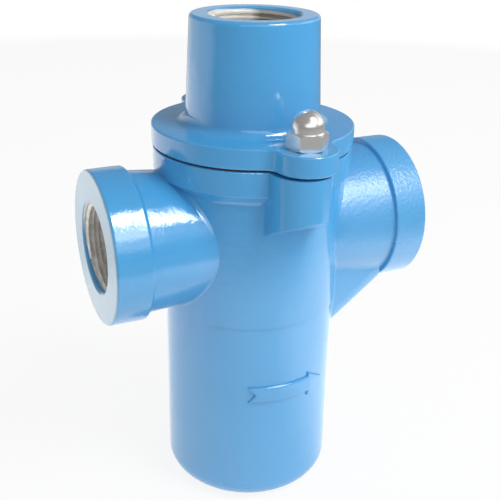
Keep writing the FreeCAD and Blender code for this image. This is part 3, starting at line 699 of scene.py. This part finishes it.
@dataclass(frozen=True)
class Thread:
    """A right-hand screw thread, as a ridge wound on its wall."""

    wall_radius: float
    depth: float
    pitch: float
    length: float
    inward: bool = False

    FOOT = 0.9
    CREST = 0.2
    BURIED = 0.08 * MM
    STEPS = 40
    RISE_PER_TURN = 2.5
    LEAST_RISE = 0.03

    @classmethod
    def tree(cls) -> Growth:
        """Build the tree, whose ridge rises from height 0 and runs out at both ends.

        Returns:
            The tree.
        """
        tree = Growth("thread_ridge", {
            "Radius": float, "Length": float, "Turns": float, "Steps": int, "Foot": float,
            "Crest": float, "Depth": float, "Quarter": float})
        spiral = tree.part("GeometryNodeCurveSpiral", {}, {
            "Resolution": tree.size("Steps"), "Rotations": tree.size("Turns"),
            "Start Radius": tree.size("Radius"), "End Radius": tree.size("Radius"),
            "Height": tree.size("Length"), "Reverse": True})
        spiral = tree.part("GeometryNodeSetCurveNormal", {"mode": "Z_UP"}, {0: spiral})
        turn = tree.number("GeometryNodeSplineParameter") * tree.size("Turns")
        rise, fall = (turns * cls.RISE_PER_TURN + cls.LEAST_RISE
                      for turns in (turn, tree.size("Turns") - turn))
        spiral = tree.part("GeometryNodeSetCurveRadius", {}, {
            0: spiral, "Radius": rise & fall & 1.0})
        section = tree.part("GeometryNodeCurvePrimitiveQuadrilateral", {"mode": "TRAPEZOID"}, {
            "Height": tree.size("Depth"), "Bottom Width": tree.size("Foot"),
            "Top Width": tree.size("Crest"), "Offset": 0.0})
        section = tree.part("GeometryNodeTransform", {}, {
            0: section, "Translation": tree.vector(0.0, tree.size("Depth") * 0.5, 0.0)})
        section = tree.part("GeometryNodeTransform", {}, {
            0: section, "Rotation": tree.vector(0.0, 0.0, tree.size("Quarter"))})
        return tree.close(tree.part("GeometryNodeCurveToMesh", {}, {
            0: spiral, "Profile Curve": section, "Fill Caps": True}))

    def mesh(self, tree: Growth, material: bpy.types.Material) -> bpy.types.Mesh:
        """Wind the ridge.

        Args:
            tree: Tree that winds it.
            material: Its material.

        Returns:
            The ridge, from height 0 up to the thread's length.
        """
        inward = 1 if self.inward else -1
        return tree.mesh(
            material, Radius=self.wall_radius + inward * self.BURIED, Length=self.length,
            Turns=self.length / self.pitch, Steps=self.STEPS, Foot=self.FOOT * self.pitch,
            Crest=self.CREST * self.pitch, Depth=self.depth + self.BURIED,
            Quarter=inward * math.pi / 2)


@dataclass(frozen=True)
class Coil:
    """A compression spring with closed and ground ends."""

    radius: float
    wire: float
    turns: float
    length: float

    STEPS = 48
    SIDES = 14
    GROUND = 0.35

    @staticmethod
    def tree() -> Growth:
        """Build the tree, whose spring stands on height 0.

        Returns:
            The tree.
        """
        tree = Growth("coil_spring", {
            "Radius": float, "Wire": float, "Turns": float, "Length": float, "Ground": float,
            "Steps": int, "Sides": int})
        wire, turns, length = (tree.size(name) for name in ("Wire", "Turns", "Length"))
        ring = tree.part("GeometryNodeCurveSpiral", {}, {
            "Resolution": tree.size("Steps"), "Rotations": turns, "Height": 0.0, "Reverse": True,
            "Start Radius": tree.size("Radius"), "End Radius": tree.size("Radius")})
        turn = tree.number("GeometryNodeSplineParameter") * turns
        closed = (turn & 1.0) + ((turn - (turns - 1.0)) | 0.0)
        spaced = ((turn - 1.0) / (turns - 2.0) | 0.0) & 1.0
        foot = wire * tree.size("Ground")
        rise = foot + wire * closed + (length - (foot + wire) * 2.0) * spaced
        ring = tree.part("GeometryNodeSetPosition", {}, {
            0: ring, "Offset": tree.vector(0.0, 0.0, rise)})
        section = tree.part("GeometryNodeCurvePrimitiveCircle", {}, {
            "Resolution": tree.size("Sides"), "Radius": wire * 0.5})
        rod = tree.part("GeometryNodeCurveToMesh", {}, {
            0: ring, "Profile Curve": section, "Fill Caps": True})
        x, y, z = tree.split(tree.part("GeometryNodeInputPosition"))
        return tree.close(tree.part("GeometryNodeSetPosition", {}, {
            0: rod, "Position": tree.vector(x, y, (z | 0.0) & length)}))

    def mesh(self, tree: Growth, material: bpy.types.Material) -> bpy.types.Mesh:
        """Wind the spring.

        Args:
            tree: Tree that winds it.
            material: Its material.

        Returns:
            The spring, from height 0 up.
        """
        return tree.mesh(
            material, Radius=self.radius, Wire=self.wire, Turns=self.turns, Length=self.length,
            Ground=self.GROUND, Steps=self.STEPS, Sides=self.SIDES)


# ---- Sub-assemblies ----

@dataclass(frozen=True)
class FlowArrow:
    """Raised arrow cast on the barrel, pointing from inlet to outlet."""

    barrel_radius: float = 42.2 * MM
    height: float = 64.8 * MM
    tail: float = -18.3 * MM
    notch: float = -14.8 * MM
    neck: float = 13.6 * MM
    tip: float = 24.6 * MM
    shaft_half: float = 4.2 * MM
    barb_half: float = 6.6 * MM
    proud: float = 1.2 * MM
    buried: float = 0.5 * MM
    edge: float = 0.9 * MM
    edge_steps: int = 3
    cut_every: float = 1.0 * MM
    first_cut: float = 0.53
    crease: float = 50.0

    def piece(self, material: bpy.types.Material) -> bpy.types.Object:
        """Build the arrow.

        Args:
            material: Its material.

        Returns:
            The arrow, wrapped round the front of the barrel.
        """
        half, barb = self.shaft_half, self.barb_half
        outline = [(self.notch, 0.0), (self.tail, -half), (self.neck, -half), (self.neck, -barb),
                   (self.tip, 0.0), (self.neck, barb), (self.neck, half), (self.tail, half)]
        plate = bmesh.new()
        top = plate.faces.new([plate.verts.new((along, up, self.proud)) for along, up in outline])
        solid = bmesh.ops.extrude_face_region(plate, geom=[top])
        for vertex in (item for item in solid["geom"] if isinstance(item, bmesh.types.BMVert)):
            vertex.co.z = -self.buried
        bmesh.ops.recalc_face_normals(plate, faces=plate.faces)
        rim = [edge for edge in plate.edges if all(vertex.co.z > 0 for vertex in edge.verts)]
        bmesh.ops.bevel(plate, geom=rim, offset=self.edge, segments=self.edge_steps, profile=0.5,
                        affect="EDGES")
        for step in range(int((self.tip - self.tail) / self.cut_every)):
            everything = plate.verts[:] + plate.edges[:] + plate.faces[:]
            cut = self.tail + (step + self.first_cut) * self.cut_every
            bmesh.ops.bisect_plane(plate, geom=everything, plane_no=(1, 0, 0), plane_co=(cut, 0, 0))
        for vertex in plate.verts:
            along, up, out = vertex.co
            turn = along / self.barrel_radius - math.pi / 2
            radius = self.barrel_radius + out
            vertex.co = (radius * math.cos(turn), radius * math.sin(turn), self.height + up)
        mesh = bpy.data.meshes.new("flow_arrow")
        plate.to_mesh(mesh)
        plate.free()
        return piece("flow_arrow", [(mesh, Matrix())], material, self.crease)


@dataclass(frozen=True)
class Casting:
    """Body and cover: enamel, port threads and flow arrow."""

    pitch: float = 2.309 * MM
    thread_depth: float = 1.479 * MM
    mouth: float = 1.4 * MM
    enamel: Enamel = Enamel()
    arrow: FlowArrow = FlowArrow()

    def build(self, threads: Growth) -> None:
        """Build and dress the casting.

        Args:
            threads: Tree that winds threads.
        """
        enamel = self.enamel.material()
        dress(("body", "cover"), enamel)
        for mount in frame["record"]["mounts"]:
            if mount["kind"] != "threaded_hole":
                continue
            outward = Vector(mount["axis"])
            length = mount["dims"]["length_mm"] * MM
            thread = Thread(mount["dims"]["r_mm"] * MM, self.thread_depth, self.pitch,
                            length - self.mouth, inward=True)
            start = Vector(mount["pos_m"]) - outward * (length / 2)
            turn = Vector((0.0, 0.0, 1.0)).rotation_difference(outward).to_matrix().to_4x4()
            ridge = piece(mount["name"] + "_thread", [
                (thread.mesh(threads, enamel), Matrix.Translation(start) @ turn)], enamel)
            hand_over(ridge, "housing")
        hand_over(self.arrow.piece(enamel), "housing")


@dataclass(frozen=True)
class Studs:
    """Studs and posts: plain shanks with a thread on each end."""

    name: str
    node: str
    radius: float
    core_radius: float
    end_radius: float
    pitch: float
    lower_length: float
    upper_length: float
    chamfer: float = 0.5 * MM

    def build(self, threads: Growth, metal: bpy.types.Material) -> None:
        """Build every stud of the node as one piece.

        Args:
            threads: Tree that winds threads.
            metal: Material of the studs.
        """
        low, high = (corner.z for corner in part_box(self.node))
        shank = (low + self.lower_length, high - self.upper_length)
        core, chamfer = self.core_radius, self.chamfer
        rod = turned([(0.0, low), (core - chamfer, low), (core, low + chamfer), (core, shank[0]),
                      (self.radius, shank[0]), (self.radius, shank[1]), (core, shank[1]),
                      (core, high - chamfer), (core - chamfer, high), (0.0, high)])
        parts = []
        for centre in axes_of(self.node):
            parts.append((rod, Matrix.Translation(centre)))
            for start, length in ((low, self.lower_length), (shank[1], self.upper_length)):
                thread = Thread(core, self.end_radius - core, self.pitch, length - self.pitch)
                lift = Vector((0.0, 0.0, start + self.pitch / 2))
                parts.append((thread.mesh(threads, metal), Matrix.Translation(centre + lift)))
        hand_over(piece(self.name, parts, metal), "housing", self.node)


@dataclass(frozen=True)
class CoverFixings:
    """Dome nuts, studs and gasket that close the trap."""

    nut_finish: Metal = Metal(
        "polished_stainless", (0.97, 0.96, 0.93), roughness=0.17, metallic=0.87,
        mark_depth=0.004 * MM, stain=0.08)
    gasket_finish: Matt = Matt(
        "gasket_fibre", light=(0.07, 0.07, 0.075), dark=(0.025, 0.025, 0.028), roughness=0.7,
        fleck=0.6 * MM, depth=0.05 * MM)
    studs: Studs = Studs(
        "cover_stud_pair", "cover_studs", radius=5.0 * MM, core_radius=4.08 * MM,
        end_radius=4.98 * MM, pitch=1.5 * MM, lower_length=14.5 * MM, upper_length=11.0 * MM)

    def build(self, threads: Growth, stainless: bpy.types.Material) -> None:
        """Build and dress the fixings.

        Args:
            threads: Tree that winds threads.
            stainless: Material of the studs.
        """
        dress(("cap_nuts",), self.nut_finish.material())
        dress(("cover_gasket", "seat_gasket"), self.gasket_finish.material())
        self.studs.build(threads, stainless)


@dataclass(frozen=True)
class Spring:
    """A coil spring between two bodies, squeezed by one joint."""

    name: str
    node: str
    joint: str
    wire: float
    turns: float
    fixed_end: int

    def build(self, coils: Growth, steel: bpy.types.Material) -> None:
        """Build the spring at its rest length; its joint's travel is read but not used.

        Args:
            coils: Tree that winds springs.
            steel: Material of the spring.
        """
        low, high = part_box(self.node)
        length = high.z - low.z
        coil = Coil(high.x - self.wire / 2, self.wire, self.turns, length)
        foot = Matrix.Translation((0.0, 0.0, low.z))
        spring = piece(self.name, [(coil.mesh(coils, steel), foot)], steel)
        hand_over(spring, "housing", self.node)
        joint = next(joint for joint in frame["joints"] if joint["name"] == self.joint)
        travel = joint["range_m"][1]
        (length - travel) / length
        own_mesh(spring)


@dataclass(frozen=True)
class Mechanism:
    """Valve, spring cage and thermal element on their posts."""

    stainless_nodes: tuple[str, ...] = (
        "seat_plate", "valve_disc", "valve_stem", "stem_nut", "spring_plate", "spring_cage",
        "cage_screws", "push_rod", "spring_cup", "cup_ring", "base_plate", "post_nuts")
    brass: Metal = Metal("turned_brass", (0.78, 0.55, 0.25), roughness=0.26, marks=Marks.TURNED)
    spring_steel: Metal = Metal("spring_wire", (0.50, 0.49, 0.47), roughness=0.22)
    wax: Matt = Matt(
        "hard_wax", light=(0.75, 0.60, 0.30), dark=(0.62, 0.46, 0.20), roughness=0.45,
        fleck=3 * MM, depth=0.05 * MM)
    rubber: Matt = Matt(
        "rubber", light=(0.04, 0.04, 0.04), dark=(0.02, 0.02, 0.02), roughness=0.6,
        fleck=0.4 * MM, depth=0.02 * MM)
    posts: Studs = Studs(
        "cage_post_set", "cage_posts", radius=3.0 * MM, core_radius=2.02 * MM,
        end_radius=2.48 * MM, pitch=0.8 * MM, lower_length=9.0 * MM, upper_length=6.0 * MM)
    return_spring: Spring = Spring(
        "return_coil", "return_spring", "valve_lift", wire=1.8 * MM, turns=7.0, fixed_end=1)
    overtravel_spring: Spring = Spring(
        "overtravel_coil", "overtravel_spring", "element_overtravel", wire=2.4 * MM, turns=3.6,
        fixed_end=0)

    def build(self, threads: Growth, stainless: bpy.types.Material) -> None:
        """Build and dress the mechanism.

        Args:
            threads: Tree that winds threads.
            stainless: Material of the turned pieces.
        """
        dress(self.stainless_nodes, stainless)
        dress(("element_housing", "element_gland", "filling_plug"), self.brass.material())
        dress(("thermal_charge",), self.wax.material())
        dress(("rod_seal",), self.rubber.material())
        self.posts.build(threads, stainless)
        coils = Coil.tree()
        steel = self.spring_steel.material()
        self.return_spring.build(coils, steel)
        self.overtravel_spring.build(coils, steel)


@dataclass(frozen=True)
class Strainer:
    """Perforated sheet rolled into a sleeve between two rings."""

    thickness: float = 1.0 * MM
    hole: float = 1.5 * MM
    hole_sides: int = 8
    columns: int = 75
    rows: int = 21
    merged: float = 0.01 * MM

    def tree(self) -> Growth:
        """Build the tree, whose sleeve is centred on height 0.

        Returns:
            The tree.
        """
        tree = Growth("perforated_sleeve", {
            "Radius": float, "Height": float, "Thickness": float, "Hole": float, "Columns": int,
            "Rows": int})
        radius, columns, rows = (tree.size(name) for name in ("Radius", "Columns", "Rows"))
        width = radius * math.tau / columns
        height = tree.size("Height") / rows
        outline = tree.part("GeometryNodeCurvePrimitiveQuadrilateral", {}, {
            "Width": width, "Height": height})
        hole = tree.part("GeometryNodeCurvePrimitiveCircle", {}, {
            "Resolution": self.hole_sides, "Radius": tree.size("Hole") * 0.5})
        cell = tree.part("GeometryNodeFillCurve", {}, {0: self.joined(tree, outline, hole)})
        centres = tree.part("GeometryNodeMeshGrid", {}, {
            "Size X": width * (columns - 1.0), "Size Y": height * (rows - 1.0),
            "Vertices X": columns, "Vertices Y": rows})
        sheet = tree.part("GeometryNodeInstanceOnPoints", {}, {0: centres, "Instance": cell})
        sheet = tree.part("GeometryNodeRealizeInstances", {}, {0: sheet})
        x, y, _ = tree.split(tree.part("GeometryNodeInputPosition"))
        turn = x / radius
        right, back = (turn.maths(wave, turn) * radius for wave in ("COSINE", "SINE"))
        sheet = tree.part("GeometryNodeSetPosition", {}, {
            0: sheet, "Position": tree.vector(right, back, y)})
        sheet = tree.part("GeometryNodeMergeByDistance", {}, {0: sheet, "Distance": self.merged})
        outer = tree.part("GeometryNodeExtrudeMesh", {}, {
            0: sheet, "Offset Scale": tree.size("Thickness"), "Individual": False})
        inner = tree.part("GeometryNodeFlipFaces", {}, {0: sheet})
        return tree.close(tree.part("GeometryNodeMergeByDistance", {}, {
            0: self.joined(tree, outer, inner), "Distance": self.merged}))

    @staticmethod
    def joined(tree: Growth, first: Socket, second: Socket) -> Socket:
        """Join two geometries."""
        join = tree.node("GeometryNodeJoinGeometry", {}, {0: first})
        tree.tree.links.new(second, join.inputs[0])
        return join.outputs[0]

    def build(self, stainless: bpy.types.Material) -> None:
        """Build and dress the strainer.

        Args:
            stainless: Material of the sleeve and rings.
        """
        dress(("strainer_base_ring", "strainer_top_ring"), stainless)
        low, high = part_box("strainer_screen")
        mesh = self.tree().mesh(
            stainless, Radius=high.x - self.thickness, Height=high.z - low.z,
            Thickness=self.thickness, Hole=self.hole, Columns=self.columns, Rows=self.rows)
        middle = Matrix.Translation((0.0, 0.0, (low.z + high.z) / 2))
        hand_over(piece("perforated_sleeve", [(mesh, middle)], stainless), "housing",
                  "strainer_screen")


# ---- Studio ----

def pointing(azimuth: float, elevation: float) -> Vector:
    """Direction of an azimuth, from +Y towards +X, and an elevation, both in degrees."""
    turn, rise = math.radians(azimuth), math.radians(elevation)
    flat = math.cos(rise)
    return Vector((math.sin(turn) * flat, math.cos(turn) * flat, math.sin(rise)))


def unseen_lamp(name: str, width: float, height: float, power: float) -> bpy.types.Object:
    """Make a rectangular lamp that the camera doesn't see.

    Args:
        name: Name of the lamp.
        width: Its width.
        height: Its height.
        power: Its power in watts.

    Returns:
        The lamp, at the origin.
    """
    lamp = bpy.data.lights.new(name, "AREA")
    lamp.shape = "RECTANGLE"
    lamp.size, lamp.size_y, lamp.energy = width, height, power
    holder = bpy.data.objects.new(name, lamp)
    holder.visible_camera = False
    bpy.context.scene.collection.objects.link(holder)
    return holder


@dataclass(frozen=True)
class Softbox:
    """A soft lamp that looks at the middle of the trap."""

    name: str
    azimuth: float
    elevation: float
    width: float
    height: float
    power: float
    distance: float = 1.6

    def build(self, target: Vector) -> None:
        """Hang the lamp.

        Args:
            target: Point that it looks at.
        """
        lamp = unseen_lamp(self.name, self.width, self.height, self.power)
        direction = pointing(self.azimuth, self.elevation)
        lamp.location = target + direction * self.distance
        lamp.rotation_euler = direction.to_track_quat("Z", "Y").to_euler()


@dataclass(frozen=True)
class LightTable:
    """A lamp that lies on the floor, shines up and fades out towards its edges."""

    name: str
    x: float
    y: float
    width: float
    depth: float
    power: float
    above_floor: float = 2 * MM
    fade: float = 6.0

    def build(self) -> None:
        """Lay the lamp."""
        lamp = unseen_lamp(self.name, self.width, self.depth, self.power)
        lamp.location = (self.x, self.y, self.above_floor)
        lamp.rotation_euler = (math.pi, 0.0, 0.0)
        lamp.data.use_nodes = True
        tree = Tree(lamp.data.node_tree)
        across, along, _ = tree.split(tree.node("ShaderNodeNewGeometry").outputs["Parametric"])
        glow = (across * (1 - across) * self.fade) & (along * (1 - along) * self.fade) & 1.0
        emission = tree.part("ShaderNodeEmission", {}, {"Color": glow, "Strength": 1.0})
        tree.node("ShaderNodeOutputLight", {}, {"Surface": emission})


@dataclass(frozen=True)
class Viewpoint:
    """The camera: its place, heading, tilts in degrees, and lens in millimetres."""

    place: Vector = Vector((-0.16433, -0.34915, 0.29237))
    heading: float = 25.198
    pitch: float = 23.743
    roll: float = 1.146
    lens: float = 60.64

    def build(self) -> None:
        """Set up the camera."""
        forward = pointing(self.heading, -self.pitch)
        level = pointing(self.heading + 90, 0.0)
        right = Matrix.Rotation(-math.radians(self.roll), 3, forward) @ level
        up = right.cross(forward)
        camera = bpy.data.objects.new("camera", bpy.data.cameras.new("camera"))
        camera.data.lens = self.lens
        turn = Matrix((right, up, -forward)).transposed().to_4x4()
        camera.matrix_world = Matrix.Translation(self.place) @ turn
        bpy.context.scene.collection.objects.link(camera)
        bpy.context.scene.camera = camera


@dataclass(frozen=True)
class Studio:
    """Pale floor, soft surroundings, lamps and the camera."""

    floor_half: float = 3.0
    floor_gap: float = 0.2 * MM
    floor_colour: Colour = (0.88, 0.88, 0.88)
    floor_glow: float = 0.88
    floor_fade: float = 1.0
    floor_fade_edge: float = 0.8
    ambient: float = 0.5
    sheet_radius: float = 0.33
    sheet_rim: float = 0.12
    sheet_back: float = 0.26
    sheet_back_edge: float = 0.4
    sheet_side: float = 0.2
    sheet_side_edge: float = 0.1
    sheet_gloss: float = 1.0
    room_gloss: float = 0.22
    backdrop_gloss: float = 0.7
    backdrop_azimuth: float = 5.0
    backdrop_facing: float = 0.2
    backdrop_side_edge: float = 0.5
    backdrop_top: float = 0.2
    backdrop_top_edge: float = 0.2
    wall_gloss: float = 0.8
    wall_azimuth: float = 130.0
    wall_facing: float = 0.3
    wall_side_edge: float = 0.4
    wall_foot: float = 0.25
    wall_foot_edge: float = 0.3
    wall_top: float = 0.75
    wall_top_edge: float = 0.2
    lamps: tuple[Softbox, ...] = (
        Softbox("key", azimuth=149.0, elevation=52.0, width=0.54, height=0.70, power=13.5),
        Softbox("below_key", azimuth=163.0, elevation=35.0, width=0.50, height=0.36, power=1.8),
        Softbox("side", azimuth=103.0, elevation=20.0, width=1.3, height=0.5, power=2.7),
        Softbox("front", azimuth=190.0, elevation=24.0, width=2.0, height=0.6, power=3.0))
    tables: tuple[LightTable, ...] = (
        LightTable("right_table", x=0.25, y=0.03, width=0.44, depth=0.60, power=0.52),
        LightTable("back_table", x=-0.45, y=0.60, width=1.2, depth=1.4, power=2.5))
    viewpoint: Viewpoint = Viewpoint()

    def floor(self) -> None:
        """Lay the floor, with a white sheet round and behind the trap that gloss sees."""
        shader = Shader("floor")
        paint = shader.part("ShaderNodeBsdfDiffuse", {}, {"Color": self.floor_colour})
        x, y, _ = shader.split(shader.place)
        behind = (y.above(self.sheet_back, self.sheet_back_edge)
                  & x.below(self.sheet_side, self.sheet_side_edge))
        sheet = x.across(y).below(self.sheet_radius, self.sheet_rim) | behind
        gloss = sheet * (self.sheet_gloss - self.room_gloss) + self.room_gloss
        glow = shader.part("ShaderNodeEmission", {}, {
            "Color": shader.camera_ray() * (1 - gloss) + gloss, "Strength": 1.0})
        shown = x.across(y).above(self.floor_fade, self.floor_fade_edge) | self.floor_glow
        mixed = shader.part("ShaderNodeMixShader", {}, {
            0: shader.seeing_ray() * shown, 1: paint, 2: glow})
        shader.node("ShaderNodeOutputMaterial", {}, {"Surface": mixed})
        half = self.floor_half
        corners = [(-half, -half, 0), (half, -half, 0), (half, half, 0), (-half, half, 0)]
        mesh = bpy.data.meshes.new("floor")
        mesh.from_pydata(corners, [], [(0, 1, 2, 3)])
        mesh.materials.append(shader.material)
        floor = bpy.data.objects.new("floor", mesh)
        floor.location.z = -self.floor_gap
        bpy.context.scene.collection.objects.link(floor)

    def surroundings(self) -> None:
        """Light the scene evenly; gloss sees a backdrop, a lit wall and a darker room between."""
        world = bpy.data.worlds.new("surroundings")
        world.use_nodes = True
        tree = Tree(world.node_tree)
        direction = tree.node("ShaderNodeTexCoord").outputs["Generated"]
        x, y, z = tree.split(direction)
        back = pointing(self.backdrop_azimuth, 0.0)
        wall = pointing(self.wall_azimuth, 0.0)
        backdrop = ((x * back.x + y * back.y).above(self.backdrop_facing, self.backdrop_side_edge)
                    & z.below(self.backdrop_top, self.backdrop_top_edge))
        lit_wall = ((x * wall.x + y * wall.y).above(self.wall_facing, self.wall_side_edge)
                    & z.above(self.wall_foot, self.wall_foot_edge)
                    & z.below(self.wall_top, self.wall_top_edge))
        brighter = (backdrop * (self.backdrop_gloss - self.room_gloss)
                    | lit_wall * (self.wall_gloss - self.room_gloss))
        seen = (brighter + self.room_gloss) | tree.camera_ray()
        strength = tree.seeing_ray() * (seen - self.ambient) + self.ambient
        light = tree.part("ShaderNodeBackground", {}, {"Color": WHITE, "Strength": strength})
        tree.node("ShaderNodeOutputWorld", {}, {"Surface": light})
        bpy.context.scene.world = world

    def build(self) -> None:
        """Set up the studio."""
        low, high = (Vector(corner) for corner in CAD_BOX)
        for lamp in self.lamps:
            lamp.build((low + high) / 2)
        for table in self.tables:
            table.build()
        self.floor()
        self.surroundings()
        self.viewpoint.build()
        bpy.context.scene.view_settings.view_transform = "Standard"


def main() -> None:
    """Build the sub-assemblies in order, then the studio."""
    logging.basicConfig(level=logging.INFO, format="%(message)s")
    threads = Thread.tree()
    stainless = STAINLESS.material()
    Casting().build(threads)
    CoverFixings().build(threads, stainless)
    Mechanism().build(threads, stainless)
    Strainer().build(stainless)
    Studio().build()


if __name__ == "__main__":
    main()
